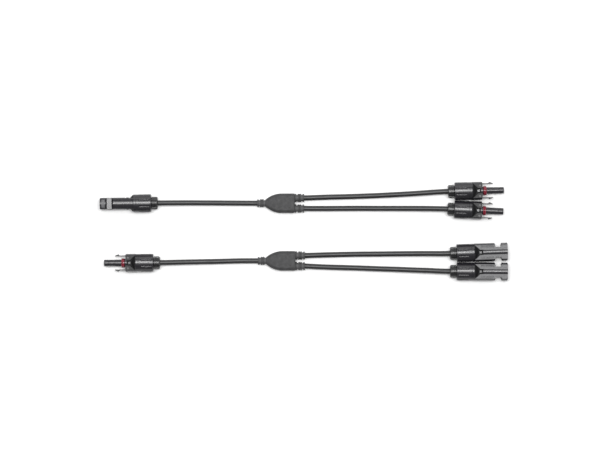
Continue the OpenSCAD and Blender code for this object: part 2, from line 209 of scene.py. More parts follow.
def rubber(name, dark, light, rough, specular=0.5):
    """Rubber with faint patches and a fine, dull grain."""
    material, tree, shader = new_material(name, dark, rough)
    shader.inputs["Specular IOR Level"].default_value = specular
    vector = texture_coordinates(tree)
    patches = noise(tree, vector, 600.0, 4.0)
    tree.links.new(blend_colours(tree, remap(tree, patches, 0.0, 1.0), dark, light),
                   shader.inputs["Base Color"])
    tree.links.new(remap(tree, patches, rough - 0.08, rough + 0.1), shader.inputs["Roughness"])
    add_bump(tree, shader, [(noise(tree, vector, 4200.0, 2.0), 0.2, 0.02 * MM)])
    return material


def turned_metal(name, dark, light, rough):
    """Turned and plated metal, with tool lines round the part and faint tarnish."""
    material, tree, shader = new_material(name, light, rough)
    shader.inputs["Metallic"].default_value = 1.0
    across = texture_coordinates(tree, (1.0, 0.06, 0.06))
    even = texture_coordinates(tree)
    lines = noise(tree, across, 9000.0, 2.0)
    tarnish = noise(tree, even, 420.0, 4.0)
    tree.links.new(blend_colours(tree, remap(tree, tarnish, 0.0, 1.0), dark, light),
                   shader.inputs["Base Color"])
    tree.links.new(remap(tree, tarnish, rough - 0.06, rough + 0.14), shader.inputs["Roughness"])
    add_bump(tree, shader, [(lines, 0.35, 0.01 * MM)])
    return material


GRIP = moulded("grip_plastic", (0.011, 0.0105, 0.013), (0.018, 0.017, 0.021), (0.22, 0.26),
               3200.0, 0.01, 0.05, (0.035, 0.035, 0.04), unevenness=0.04)
WING = moulded("wing_plastic", (0.04, 0.04, 0.042), (0.15, 0.15, 0.156), (0.38, 0.5),
               2400.0, 0.1, 0.8, (0.26, 0.26, 0.27), mottle=1300.0)
PLUG_WING = moulded("plug_wing_plastic", (0.007, 0.007, 0.008), (0.034, 0.034, 0.036),
                    (0.4, 0.52), 2400.0, 0.1, 0.8, (0.12, 0.12, 0.125), specular=0.25,
                    mottle=1300.0)
PANEL = moulded("panel_plastic", (0.01, 0.01, 0.011), (0.15, 0.15, 0.155), (0.4, 0.6),
                2000.0, 0.12, 0.9, (0.2, 0.2, 0.2), mottle=1700.0)
# Painted shade: a darker, duller black for the sunk valley and the slope in front of the grip,
# where shade falls.
VALLEY_PAINTED_SHADE = moulded("valley_painted_shade", (0.006, 0.006, 0.0065), (0.011, 0.011, 0.012), (0.6, 0.75),
                 2600.0, 0.04, 0.4, (0.02, 0.02, 0.021), specular=0.2)
NUT = moulded("nut_plastic", (0.005, 0.005, 0.006), (0.01, 0.01, 0.011), (0.24, 0.34),
              3000.0, 0.03, 0.3, (0.035, 0.035, 0.036))
LATCH = moulded("latch_plastic", (0.02, 0.02, 0.021), (0.04, 0.04, 0.041), (0.4, 0.55),
                3000.0, 0.03, 0.3, (0.07, 0.07, 0.072))
SPLITTER = moulded("splitter_plastic", (0.028, 0.028, 0.029), (0.044, 0.044, 0.0455),
                   (0.55, 0.7), 2200.0, 0.05, 0.45, (0.08, 0.08, 0.082), specular=0.4)
CLAW = moulded("claw_plastic", (0.5, 0.5, 0.47), (0.62, 0.62, 0.58), (0.45, 0.6),
               2500.0, 0.03, 0.3, (0.7, 0.7, 0.66))
SHEATH = sheath_material()
SEAL_RED = rubber("seal_red", (0.12, 0.002, 0.01), (0.25, 0.008, 0.03), 0.2, 1.0)
GLAND = rubber("gland_rubber", (0.09, 0.09, 0.09), (0.14, 0.14, 0.14), 0.6)
TIN = turned_metal("tinned_copper", (0.55, 0.54, 0.5), (0.78, 0.77, 0.74), 0.28)
STEEL = turned_metal("spring_steel", (0.42, 0.43, 0.45), (0.62, 0.63, 0.65), 0.3)
COPPER = turned_metal("bare_copper", (0.55, 0.24, 0.13), (0.8, 0.42, 0.28), 0.35)

# ---------------------------------------------------------------- cords

CABLE_D = 0.0058
# Each cable's route, splitter end first, in metres, as the CAD model has it.
ROUTES = {
    "a_trunk_cable": ("a_socket", [
        (-0.0398, 0.0311, 0.0055), (-0.056, 0.0311, 0.0055), (-0.072, 0.0312, 0.0055),
        (-0.088, 0.0313, 0.0063), (-0.1047, 0.0314, 0.0074), (-0.1073, 0.0314, 0.0076),
        (-0.123, 0.0315, 0.0087), (-0.139, 0.03145, 0.0095), (-0.155, 0.03135, 0.0099),
        (-0.1749, 0.0311, 0.00995)]),
    "a_upper_cable": ("a_upper_plug", [
        (-0.0128, 0.03695, 0.0055), (0.0012, 0.03695, 0.0055), (0.01, 0.0372, 0.0055),
        (0.026, 0.0378, 0.0052), (0.043, 0.0382, 0.0052), (0.06, 0.0387, 0.0056),
        (0.0787, 0.0394, 0.0063), (0.0813, 0.0395, 0.0065), (0.099, 0.0404, 0.0074),
        (0.117, 0.0414, 0.0083), (0.135, 0.0426, 0.0091), (0.153, 0.0438, 0.00975),
        (0.1736, 0.0443, 0.00975)]),
    "a_lower_cable": ("a_lower_plug", [
        (-0.0128, 0.02525, 0.0055), (0.0012, 0.02525, 0.0055), (0.01, 0.0252, 0.0055),
        (0.026, 0.0252, 0.0052), (0.043, 0.0253, 0.0052), (0.06, 0.0254, 0.0056),
        (0.0787, 0.0253, 0.0063), (0.0813, 0.0253, 0.0065), (0.099, 0.0253, 0.0074),
        (0.117, 0.0253, 0.0083), (0.135, 0.0252, 0.0091), (0.153, 0.0249, 0.00975),
        (0.1731, 0.02405, 0.00975)]),
    "b_trunk_cable": ("b_plug", [
        (-0.039, -0.0323, 0.0055), (-0.055, -0.0323, 0.0055), (-0.071, -0.0324, 0.0055),
        (-0.087, -0.0328, 0.0062), (-0.1027, -0.0332, 0.0072), (-0.1053, -0.0332, 0.0074),
        (-0.121, -0.0335, 0.0084), (-0.137, -0.0338, 0.0092), (-0.152, -0.0342, 0.00975),
        (-0.1725, -0.0344, 0.00975)]),
    "b_upper_cable": ("b_upper_socket", [
        (-0.012, -0.02645, 0.0055), (0.002, -0.02645, 0.0055), (0.011, -0.0262, 0.0055),
        (0.027, -0.0257, 0.0052), (0.044, -0.0253, 0.0052), (0.061, -0.025, 0.0056),
        (0.0797, -0.0248, 0.0063), (0.0823, -0.0248, 0.0065), (0.1, -0.0246, 0.0074),
        (0.118, -0.0244, 0.0083), (0.136, -0.0243, 0.0091), (0.155, -0.0243, 0.00975),
        (0.1758, -0.0236, 0.00975)]),
    "b_lower_cable": ("b_lower_socket", [
        (-0.012, -0.03815, 0.0055), (0.002, -0.03815, 0.0055), (0.011, -0.0386, 0.0055),
        (0.027, -0.0393, 0.0052), (0.044, -0.0398, 0.0052), (0.061, -0.0403, 0.0056),
        (0.0797, -0.041, 0.0063), (0.0823, -0.0411, 0.0065), (0.1, -0.0416, 0.0074),
        (0.118, -0.0423, 0.0083), (0.136, -0.0429, 0.0091), (0.155, -0.0437, 0.00975),
        (0.1759, -0.0439, 0.00975)]),
}
TUBE_SIDES = 32
PATH_STEP = 0.0052


def spline(points, step):
    """A smooth curve through points, sampled about every step."""
    pts = [np.array(p) for p in points]
    pts = [2 * pts[0] - pts[1], *pts, 2 * pts[-1] - pts[-2]]
    curve = []
    for a, b, c, d in zip(pts, pts[1:], pts[2:], pts[3:]):
        chord = np.linalg.norm(c - b)
        before = (c - a) * chord / max(np.linalg.norm(c - a), 1e-9)
        after = (d - b) * chord / max(np.linalg.norm(d - b), 1e-9)
        count = max(1, round(chord / step))
        for i in range(count):
            t = i / count
            curve.append((2 * t**3 - 3 * t**2 + 1) * b + (t**3 - 2 * t**2 + t) * before
                         + (3 * t**2 - 2 * t**3) * c + (t**3 - t**2) * after)
    curve.append(pts[-2])
    return np.array(curve)


def tube_mesh(name, path, radius, sides):
    """A round tube along a path."""
    tangents = np.gradient(path, axis=0)
    tangents /= np.linalg.norm(tangents, axis=1)[:, None]
    across = np.cross(tangents, (0.0, 0.0, 1.0))
    across /= np.linalg.norm(across, axis=1)[:, None]
    up = np.cross(across, tangents)
    angles = np.arange(sides) * 2 * math.pi / sides
    rings = (path[:, None, :] + radius * (np.cos(angles)[None, :, None] * across[:, None, :]
                                          + np.sin(angles)[None, :, None] * up[:, None, :]))
    return ring_mesh(name, rings)


def ring_mesh(name, rings, closed=False):
    """A mesh over rings of points, (ring, point, xyz), with flat ends or joined end to end."""
    count, sides = rings.shape[:2]
    index = np.arange(count * sides).reshape(count, sides)
    upper = np.roll(index, -1, axis=0) if closed else index[1:]
    lower = index if closed else index[:-1]
    quads = np.stack([lower, np.roll(lower, -1, 1), np.roll(upper, -1, 1), upper], axis=-1)
    faces = quads.reshape(-1, 4).tolist()
    if not closed:
        faces.append(index[0][::-1].tolist())
        faces.append(index[-1].tolist())
    mesh = bpy.data.meshes.new(name)
    mesh.from_pydata(rings.reshape(-1, 3).tolist(), [], faces)
    mesh.update()
    outward = bmesh.new()
    outward.from_mesh(mesh)
    bmesh.ops.recalc_face_normals(outward, faces=outward.faces)
    outward.to_mesh(mesh)
    outward.free()
    return mesh


def add_object(name, mesh, *materials):
    piece = link_object(name, mesh)
    for material in materials:
        mesh.materials.append(material)
    mesh.shade_smooth()
    return piece


def make_cable(cable, connector, points):
    """One cable from its splitter to its connector, bending between the two."""
    path = spline(points, PATH_STEP)
    piece = add_object(cable, tube_mesh(cable, path, CABLE_D / 2, TUBE_SIDES), SHEATH)
    kind = "socket" if "socket" in connector else "plug"
    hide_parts(cable + "_splitter_end", f"{cable}_{kind}_end")
    away = np.array(points[1]) - np.array(points[0])
    away /= np.linalg.norm(away)
    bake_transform(piece)


for cable, (connector, points) in ROUTES.items():
    make_cable(cable, connector, points)

# ---------------------------------------------------------------- shapes of revolution and fields

SIDES = 360
THETA = np.arange(SIDES) * 2 * math.pi / SIDES
COS, SIN = np.cos(THETA), np.sin(THETA)


def smooth_min(a, b, k):
    """The smaller of two values, rounded over k where they meet."""
    h = np.clip(0.5 + 0.5 * (b - a) / k, 0.0, 1.0)
    return b * (1 - h) + a * h - k * h * (1 - h)


def smooth_max(a, b, k):
    return -smooth_min(-a, -b, k)


def smooth_step(value, low, high):
    t = np.clip((value - low) / (high - low), 0.0, 1.0)
    return t * t * (3 - 2 * t)


def box_inside(u, v, half_u, half_v, corner):
    """How far a point is inside a rounded box, negative outside."""
    qu, qv = np.abs(u) - half_u + corner, np.abs(v) - half_v + corner
    outside = np.hypot(np.maximum(qu, 0), np.maximum(qv, 0))
    return corner - outside - np.minimum(np.maximum(qu, qv), 0)


def rounded_rect_radius(half_w, half_h, corner):
    """Distance from the axis to a rounded rectangle, along each angle."""
    c, s = np.maximum(np.abs(COS), 1e-9), np.maximum(np.abs(SIN), 1e-9)
    r = np.minimum(half_w / c, half_h / s)
    cy, cz = half_w - corner, half_h - corner
    along = cy * c + cz * s
    root = corner**2 - (cy**2 + cz**2) + along**2
    bend = along + np.sqrt(np.maximum(root, 0))
    in_corner = (r * c > cy) & (r * s > cz)
    return np.where(in_corner, bend, r)


def field_rings(stations):
    """Rings in metres from (x, radius) stations in mm, where radius is a number or an array."""
    rings = np.zeros((len(stations), SIDES, 3))
    for i, (x, radius) in enumerate(stations):
        rings[i, :, 0] = x
        rings[i, :, 1] = radius * COS
        rings[i, :, 2] = radius * SIN
    return rings * MM


def arc_stations(x0, x1, count):
    """Stations from x0 to x1 that crowd together towards x1, for a rounded edge."""
    return [x0 + (x1 - x0) * math.sin(math.pi / 2 * i / count) for i in range(count + 1)]


def mesh_from(form, name):
    """Turns a bmesh into a mesh and frees it."""
    mesh = bpy.data.meshes.new(name)
    form.to_mesh(mesh)
    form.free()
    return mesh


def cut(piece, cutters):
    """Cuts closed meshes out of a piece and removes them."""
    for cutter in cutters:
        modifier = piece.modifiers.new("cut", "BOOLEAN")
        modifier.operation = "DIFFERENCE"
        modifier.solver = "EXACT"
        modifier.object = cutter
    depsgraph = bpy.context.evaluated_depsgraph_get()
    result = bpy.data.meshes.new_from_object(piece.evaluated_get(depsgraph))
    piece.modifiers.clear()
    piece.data = result
    for cutter in cutters:
        bpy.data.objects.remove(cutter)


def box_cutter(low, high, rounding=0.12):
    """A box in mm with slightly rounded edges."""
    form = bmesh.new()
    bmesh.ops.create_cube(form, size=1.0)
    size = [(h - l) * MM for l, h in zip(low, high)]
    middle = [(h + l) / 2 * MM for l, h in zip(low, high)]
    bmesh.ops.scale(form, vec=size, verts=form.verts)
    bmesh.ops.translate(form, vec=middle, verts=form.verts)
    bmesh.ops.bevel(form, geom=form.edges[:], offset=rounding * MM, segments=2, affect="EDGES",
                    profile=0.5)
    return add_object("cutter", mesh_from(form, "cutter"))


def finish_shading(mesh, degrees=32.0):
    """Smooth shading, with edges sharper than the angle left crisp."""
    mesh.shade_smooth()
    mesh.set_sharp_from_angle(angle=math.radians(degrees))


# ---------------------------------------------------------------- connector housings

# Widths: the grip across flats, half the wings, half their thickness, and the round core.
GRIP_AF, WING_R, WING_Z, CORE_R = 19.5, 9.95, 6.0, 6.55
# Where the spigot, the grip, the wings and the core start, and where each housing ends.
SPIGOT_X, GRIP_X, WING_X, RIDGE_X = 3.6, 7.4, 27.2, 36.3
COLLAR_X, SOCKET_X = 37.9, 63.5
SPIGOT_R, THREAD_PITCH, THREAD_DEPTH, THREAD_END = 5.58, 2.0, 0.42, 7.2
BULGE_R, REAR_EDGE, SEAM_X = 12.5, 1.3, 23.9
# A finger flute: its angle off the face's middle, its middle, half its length and width.
FLUTE_ANGLE, FLUTE_X, FLUTE_LENGTH, FLUTE_WIDTH = math.radians(20), 14.8, 6.45, 1.2
FLUTE_CORNER, FLUTE_DEPTH = 1.15, 0.6
# The tab in the valley: its ends, half its width and its height.
TAB = (32.2, 35.0, 1.4, 6.6)
# The wing panels: their middle, half their width, corner and depth, and each housing's spans.
PANEL_Y, PANEL_WIDTH, PANEL_CORNER, PANEL_DEPTH = 6.05, 1.15, 0.3, 0.35
PLUG_PANELS = ((33.9, 36.6),)
SOCKET_PANELS = ((33.9, 38.2), (39.0, 48.0))
# A latch window from above: its ends, a sloping rear edge, a floor and a steep front.
WINDOW = (49.3, 56.3)
WINDOW_X = (49.3, 50.15, 50.4, 50.7, 55.8, 56.1, 56.25, 56.3)
WINDOW_Y = (9.95, 6.2, 5.75, 5.5, 5.5, 5.6, 5.9, 9.95)
# The grooves across the lip in front of a window.
LIP_GROOVES = (58.35, 59.75, 61.15)
# The slope at the front of the grip, as X against radius.
SLOPE_X = (25.6, 26.6, 27.5, 28.3, 30.6, 31.6, 40.0)
SLOPE_R = (10.5, 10.05, 9.3, 8.55, 5.95, 4.9, 4.5)
# Half of the valley in front of the grip, as X against the distance from the middle.
VALLEY_X = (27.0, 27.4, 32.8, 33.3, 36.3, 36.45, 36.6)
VALLEY_Y = (8.4, 8.1, 3.2, 2.85, 2.85, 2.6, -1.0)
VALLEY_Z, VALLEY_END = 5.0, RIDGE_X + 0.15
# Slots that the latch arms pass through: their lower and upper corners.
PLUG_SLOT = ((30.2, 6.5, -2.35), (39.5, 8.5, 2.35))
SOCKET_SLOT = ((55.6, 6.0, -2.6), (65.0, 8.6, 2.6))
ABS_COS, ABS_SIN = np.abs(COS), np.maximum(np.abs(SIN), 1e-6)


def spigot_radius(x):
    """The threaded spigot behind the grip."""
    turn = (x / THREAD_PITCH - THETA / (2 * math.pi)) % 1.0
    ridge = smooth_step(np.abs(turn - 0.5), 0.12, 0.3)
    fade = smooth_step(x, SPIGOT_X, SPIGOT_X + 0.8)
    fade *= 1 - smooth_step(x, THREAD_END - 0.5, THREAD_END)
    lead_in = 0.2 * (1 - smooth_step(x, SPIGOT_X, SPIGOT_X + 0.3))
    return SPIGOT_R - THREAD_DEPTH * ridge * fade - lead_in


def grip_radius(x):
    """The grip: eight slightly bulging sides with finger flutes, sloping down at the front."""
    eighth = math.pi / 4
    off = (THETA + eighth / 2) % eighth - eighth / 2
    back = BULGE_R - GRIP_AF / 2
    r = np.sqrt(BULGE_R**2 - (back * np.sin(off)) ** 2) - back * np.cos(off)
    from_face = np.abs((THETA + eighth) % (2 * eighth) - eighth)
    aside = r * np.sin(from_face - FLUTE_ANGLE)
    inside = box_inside(x - FLUTE_X, aside, FLUTE_LENGTH, FLUTE_WIDTH, FLUTE_CORNER)
    r = r - FLUTE_DEPTH * smooth_step(inside, 0.0, 0.8)
    # A moulded seam all round where the two halves of the grip's tool met.
    r = r - 0.12 * (1 - smooth_step(abs(x - SEAM_X), 0.05, 0.16))
    r = smooth_min(r, np.full(SIDES, np.interp(x, SLOPE_X, SLOPE_R)), 0.35)
    if x < GRIP_X + REAR_EDGE:
        t = (x - GRIP_X) / REAR_EDGE
        r = smooth_min(r, np.full(SIDES, 10.3 - 1.6 * (1 - math.sqrt(1 - (1 - t) ** 2))), 0.2)
    return r


def panel_depth(x, spans):
    """How deep the textured wing panels are at each angle."""
    y = ABS_COS / ABS_SIN * WING_Z
    depth = np.zeros(SIDES)
    for low, high in spans:
        inside = box_inside(x - (low + high) / 2, y - PANEL_Y, (high - low) / 2, PANEL_WIDTH,
                            PANEL_CORNER)
        depth = np.maximum(depth, PANEL_DEPTH * smooth_step(inside, 0.0, 0.2))
    return depth


def wing_radius(x, side_r, spans):
    """Flat wings with round edges, parted by the valley, and the round core proud of them."""
    flat = (WING_Z - panel_depth(x, spans)) / ABS_SIN
    r = smooth_min(flat, np.full(SIDES, side_r), 0.35)
    aside = ABS_COS / ABS_SIN * WING_Z
    if x < RIDGE_X + 0.2:
        edge = np.interp(x, VALLEY_X, VALLEY_Y)
        in_valley = smooth_step(edge - aside, -0.05, 0.25)
        floor = VALLEY_Z + 0.3 * smooth_step(aside, 0.3 * edge, edge)
        r = r * (1 - in_valley) + floor / ABS_SIN * in_valley
    if x >= RIDGE_X:
        r = smooth_max(r, np.full(SIDES, CORE_R), 0.1)
    x0, x1, half_y, height = TAB
    if x0 <= x <= x1:
        on_tab = smooth_step(half_y - ABS_COS / ABS_SIN * height, 0.0, 0.16)
        on_tab = on_tab * smooth_step(min(x - x0, x1 - x), -0.02, 0.16)
        r = r * (1 - on_tab) + height / ABS_SIN * on_tab
    return r


def body_radius(x, side_r, spans):
    """The housing's outer surface: grip, slope and wings in one."""
    if x <= WING_X:
        return grip_radius(x)
    return smooth_max(grip_radius(x), wing_radius(x, side_r, spans), 0.12)


def spaced(low, high, step):
    """Evenly spaced values between two ends, at most a step apart."""
    count = max(1, math.ceil((high - low) / step))
    return [low + (high - low) * i / count for i in range(1, count)]


def rear_stations():
    """The closed rear, threaded spigot and the grip's rear face."""
    stations = [(SPIGOT_X + 3.0, 4.7), (SPIGOT_X, 4.75)]
    stations += [(x, spigot_radius(x)) for x in [SPIGOT_X, *spaced(SPIGOT_X, GRIP_X, 0.16)]]
    stations.append((GRIP_X, SPIGOT_R))
    stations += [(GRIP_X + s, grip_radius(GRIP_X + s))
                 for s in (0.0, 0.04, 0.12, 0.24, 0.4, 0.6, 0.76)]
    return stations


def body_xs(front, spans):
    """Where the outer surface is sampled, closest at slopes and small steps."""
    xs = spaced(8.2, 9.8, 0.12) + spaced(9.8, 19.8, 1.0) + spaced(19.8, 21.4, 0.12)
    xs += [22.5, *(SEAM_X + s for s in (-0.3, -0.16, -0.1, 0.0, 0.1, 0.16, 0.3)), 25.2]
    xs += spaced(25.4, WING_X, 0.25) + [WING_X, WING_X + 0.01] + spaced(WING_X, 33.8, 0.15)
    xs += spaced(33.8, front - 0.9, 0.8) + [36.26, 36.34, 36.42, 36.5, 36.58]
    for edge in TAB[:2]:
        xs += [edge + s for s in (-0.17, -0.1, -0.03, -0.005, 0.005, 0.06, 0.12, 0.17)]
    for low, high in spans:
        for step in (0.0, 0.07, 0.14, 0.2):
            xs += [low + step, high - step]
    return [x for x in xs if x < front - 0.9] + arc_stations(front - 0.9, front, 7)


def end_rounding(distance, radius):
    """How far a round edge has come in at a distance from the end."""
    if distance >= radius:
        return 0.0
    return radius * (1 - math.sqrt(max(0.0, 1 - (1 - distance / radius) ** 2)))


def in_order(xs):
    return sorted(set(round(x, 4) for x in xs))


def full_rings(profile):
    """Stations of a shape of revolution, from (x, radius) pairs."""
    return [(x, np.full(SIDES, r)) for x, r in profile]


def plug_stations():
    """The plug's housing: outside, collar, seal seat, barrel and bore."""
    tip = COLLAR_X + 23.7
    stations = rear_stations()
    for x in in_order(body_xs(COLLAR_X, PLUG_PANELS)):
        side = WING_R - end_rounding(COLLAR_X - x, 0.7)
        stations.append((x, body_radius(x, side, PLUG_PANELS)))
    profile = [(COLLAR_X, 4.6), (38.1, 4.4), (38.9, 4.4), (39.1, 4.25), (39.1, 3.4), (42.5, 3.4),
               (42.5, 3.6), (42.62, 3.68), (50.0, 3.66), (56.1, 3.64), (56.25, 3.5), (56.6, 3.48),
               (56.75, 3.66), (56.9, 3.7), (tip - 0.6, 3.7), (tip - 0.22, 3.62),
               (tip - 0.05, 3.46), (tip, 3.3), (tip, 2.5), (tip - 0.15, 2.32), (tip - 1.2, 2.3),
               (tip - 1.25, 2.93), (44.0, 2.93), (44.0, 2.7)]
    return stations + full_rings(profile)


def socket_radius(x):
    """The socket's outer surface, with its latch windows and the grooves across its lips."""
    side = WING_R - end_rounding(SOCKET_X - x, 0.8)
    for distance, rounding in ((WINDOW[0] - x, 0.5), (x - WINDOW[1], 1.2)):
        if 0 <= distance < rounding:
            side -= end_rounding(distance, rounding)
    r = body_radius(x, side, SOCKET_PANELS)
    for groove in LIP_GROOVES:
        depth = 0.3 * (1 - smooth_step(abs(x - groove), 0.2, 0.36))
        r = r - depth * (np.abs(r * COS) > 7.8)
    if WINDOW[0] < x < WINDOW[1]:
        r = np.minimum(r, np.interp(x, WINDOW_X, WINDOW_Y) / np.maximum(ABS_COS, 1e-6))
    return r


def socket_stations():
    """The socket's housing: outside, mouth and bore."""
    xs = body_xs(SOCKET_X, SOCKET_PANELS)
    for edge, side in ((WINDOW[0], -1), (WINDOW[1], 1)):
        xs += [edge + side * t for t in (0.0, 0.02, 0.07, 0.15, 0.27, 0.42, 0.6, 0.9, 1.2)]
    xs += [49.34, 49.55, 49.75, 49.95, 50.15, 50.28, 50.4, 50.55, 50.7, 51.2, 55.8, 55.95, 56.1,
           56.18, 56.25, 56.28]
    for groove in LIP_GROOVES:
        xs += [groove + s for s in (-0.36, -0.29, -0.22, 0.22, 0.29, 0.36)]
    stations = rear_stations()
    stations += [(x, socket_radius(x)) for x in in_order(xs)]
    profile = [(SOCKET_X, 5.35), (SOCKET_X - 0.08, 5.2), (SOCKET_X - 0.3, 5.05),
               (SOCKET_X - 0.5, 5.0), (57.0, 5.0), (56.9, 4.95), (56.6, 4.1), (56.3, 3.9),
               (39.4, 3.9), (39.1, 3.8), (39.0, 3.6), (39.0, 2.0)]
    return stations + full_rings(profile)


# A housing's material slots; the third holds painted shade for the valley and the slope in front of
# the grip.
SMOOTH, GRAINED, SUNK_SHADE, PANELLED = range(4)
SKIN_R = 5.25


def face_paint(x, y, z, facing, front):
    """A face's material, from its middle, how far it faces up or down, and the housing's end."""
    r = math.hypot(y, z)
    y, z = abs(y), abs(z)
    socket = front == SOCKET_X
    paint = GRAINED if WING_X + 0.02 < x < front - 0.05 and r > SKIN_R else SMOOTH
    # The slope and the valley in front of the grip get the painted shade.
    if paint == GRAINED and x < VALLEY_END:
        edge = np.interp(x, VALLEY_X, VALLEY_Y)
        sloped = r < np.interp(x, SLOPE_X, SLOPE_R) + 0.1
        if sloped or y / max(z, 1e-6) * WING_Z < edge - 0.02:
            paint = SUNK_SHADE
    # The valley floor's low faces get the painted shade too.
    if WING_X < x < VALLEY_END and 4.6 < r <= SKIN_R and z > 4.0:
        paint = SUNK_SHADE
    # The round sides are smooth, apart from the grooved lips.
    if paint == GRAINED and (facing < 0.8 or z < 5.2):
        on_lip = LIP_GROOVES[0] - 0.65 < x < LIP_GROOVES[-1] + 0.65 and z < 4.4 and y > 8.3
        paint = GRAINED if socket and on_lip else SMOOTH
    on_core = x >= VALLEY_END and z > 5.0 and y < 2.6
    in_window = socket and WINDOW[0] < x < WINDOW[1] + 0.1 and y < 6.4 and z < 5.9
    on_tab = TAB[0] < x < TAB[1] and y < TAB[2] and z > 6.2
    if on_core or in_window or on_tab:
        return SMOOTH
    if paint == GRAINED and 5.2 < z < WING_Z - 0.2 and abs(y - PANEL_Y) < PANEL_WIDTH:
        return PANELLED
    return paint


def make_housing(name, stations, slot, front, wing):
    """A housing's mesh: its outside and bore, the slots for the latch arms, and its materials."""
    piece = add_object(name, ring_mesh(name, field_rings(stations)), GRIP, wing, VALLEY_PAINTED_SHADE, PANEL)
    low, high = slot
    cutters = []
    for side in (1, -1):
        y = sorted((side * low[1], side * high[1]))
        cutters.append(box_cutter((low[0], y[0], low[2]), (high[0], y[1], high[2])))
    cut(piece, cutters)
    mesh = piece.data
    bpy.data.objects.remove(piece)
    for polygon in mesh.polygons:
        x, y, z = (v / MM for v in polygon.center)
        polygon.material_index = face_paint(x, y, z, abs(polygon.normal.z), front)
    finish_shading(mesh)
    return mesh


# ---------------------------------------------------------------- smaller connector pieces

NUT_X, NUT_RIBS, NUT_R, NUT_RIB = 0.2, 14, 6.45, 0.55


def nut_mesh():
    """Ribbed cap nut with a bore that clears the cable and a recess for the spigot."""
    pitch = 2 * math.pi / NUT_RIBS

    def outer(x):
        off = np.abs((THETA + pitch / 2) % pitch - pitch / 2) * 6.9
        rise = 1 - smooth_step(off, 0.55, 0.85)
        ends = smooth_step(x, 0.45, 0.9) * (1 - smooth_step(x, 6.25, 6.6))
        waist = 0.22 * (1 - smooth_step(abs(x - 4.7), 0.2, 0.45))
        lead_in = 0.55 * (1 - smooth_step(x, 0.0, 0.55))
        return NUT_R + NUT_RIB * rise * ends - waist * rise - lead_in

    xs = [0.0, 0.1, 0.22, 0.38, 0.45, 0.55, 0.65, 0.75, 0.9, 1.5, 3.0, 4.2, 4.4, 4.5, 4.6, 4.7,
          4.8, 4.9, 5.0, 5.15, 5.6, 6.2, 6.3, 6.4, 6.5, 6.62, 6.85]
    stations = [(0.25, 3.05), (0.05, 3.25), (0.0, 3.45)]
    stations += [(x, outer(x)) for x in xs]
    stations += [(7.0, 6.3), (7.0, 5.85), (6.85, 5.72), (6.5, 5.68), (1.3, 5.68), (1.1, 5.5),
                 (1.1, 3.05)]
    rings = field_rings([(x + NUT_X, r) for x, r in stations])
    return ring_mesh("cap_nut", rings, closed=True)


def seal_ring_mesh():
    """Red seal ring with two round lips and a waist between them."""
    seat, lip, outer = 3.42, 0.85, 5.2
    profile = [(39.2, seat), (39.15, 3.6), (39.15, 4.2)]
    for middle in (40.0, 41.6):
        for a in range(-80, 81, 16):
            profile.append((middle + lip * math.sin(math.radians(a)),
                            outer - lip + lip * math.cos(math.radians(a))))
    profile += [(42.45, 4.2), (42.45, 3.6), (42.4, seat)]
    return ring_mesh("seal_ring", field_rings(profile), closed=True)


ARM_WIDTH = 4.4


def latch_arm_mesh(side):
    """Springy arm: thin blade, thicker root, and an outward barb with a long lead-in ramp."""
    inner, outer = 7.1, 8.2
    tip, catch = COLLAR_X + 11.8, COLLAR_X + 7.4
    outline = [(30.5, 7.05), (37.0, 7.05), (39.5, inner), (44.6, inner + 0.05),
               (46.6, inner + 0.2), (48.6, inner + 0.1), (tip - 0.4, inner + 0.1),
               (tip, inner + 0.35), (tip, inner + 0.62), (48.9, 8.25), (47.8, 8.8), (46.8, 9.2),
               (46.0, 9.4), (catch + 0.3, 9.42), (catch + 0.02, 9.3), (catch - 0.15, 8.6),
               (catch - 0.5, outer), (43.0, outer - 0.08), (39.5, outer), (37.0, 8.35),
               (30.5, 8.35)]
    form = bmesh.new()
    rows = [form.verts.new((x * MM, side * y * MM, -ARM_WIDTH / 2 * MM)) for x, y in outline]
    face = form.faces.new(rows if side > 0 else rows[::-1])
    top = bmesh.ops.extrude_face_region(form, geom=[face])
    bmesh.ops.translate(form, vec=(0, 0, ARM_WIDTH * MM),
                        verts=[v for v in top["geom"] if isinstance(v, bmesh.types.BMVert)])
    bmesh.ops.recalc_face_normals(form, faces=form.faces)
    rims = [e for e in form.edges if len(e.link_faces) == 2 and e.calc_face_angle() > 0.9]
    bmesh.ops.bevel(form, geom=rims, offset=0.16 * MM, segments=3, affect="EDGES", profile=0.5)
    return mesh_from(form, "latch_arm")


# ---------------------------------------------------------------- placing connectors

# Where the nut's joint sits, along the connector.
NUT_JOINT_X = 4.0


def connector_matrix(connector):
    """A connector's own frame in the model's frame, from its nut's axis."""
    joint = JOINTS[connector + "_nut_turn"]
    forward = -Vector(joint["axis"])
    origin = Vector(joint["pos_m"]) - NUT_JOINT_X * MM * forward
    heading = math.atan2(forward.y, forward.x)
    roll = math.radians(ROLLED.get(connector, 0.0))
    return (Matrix.Translation(origin) @ Matrix.Rotation(heading, 4, "Z")
            @ Matrix.Rotation(roll, 4, "X"))


def place(name, mesh, connector, body, node):
    """A copy of a connector piece, on its body, in place of its CAD node."""
    piece = link_object(name, mesh)
    piece.matrix_world = connector_matrix(connector)
    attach(piece, body)
    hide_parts(node)


def shared_mesh(mesh, material):
    """A mesh that several pieces share, with its material."""
    mesh.materials.append(material)
    finish_shading(mesh)
    return mesh


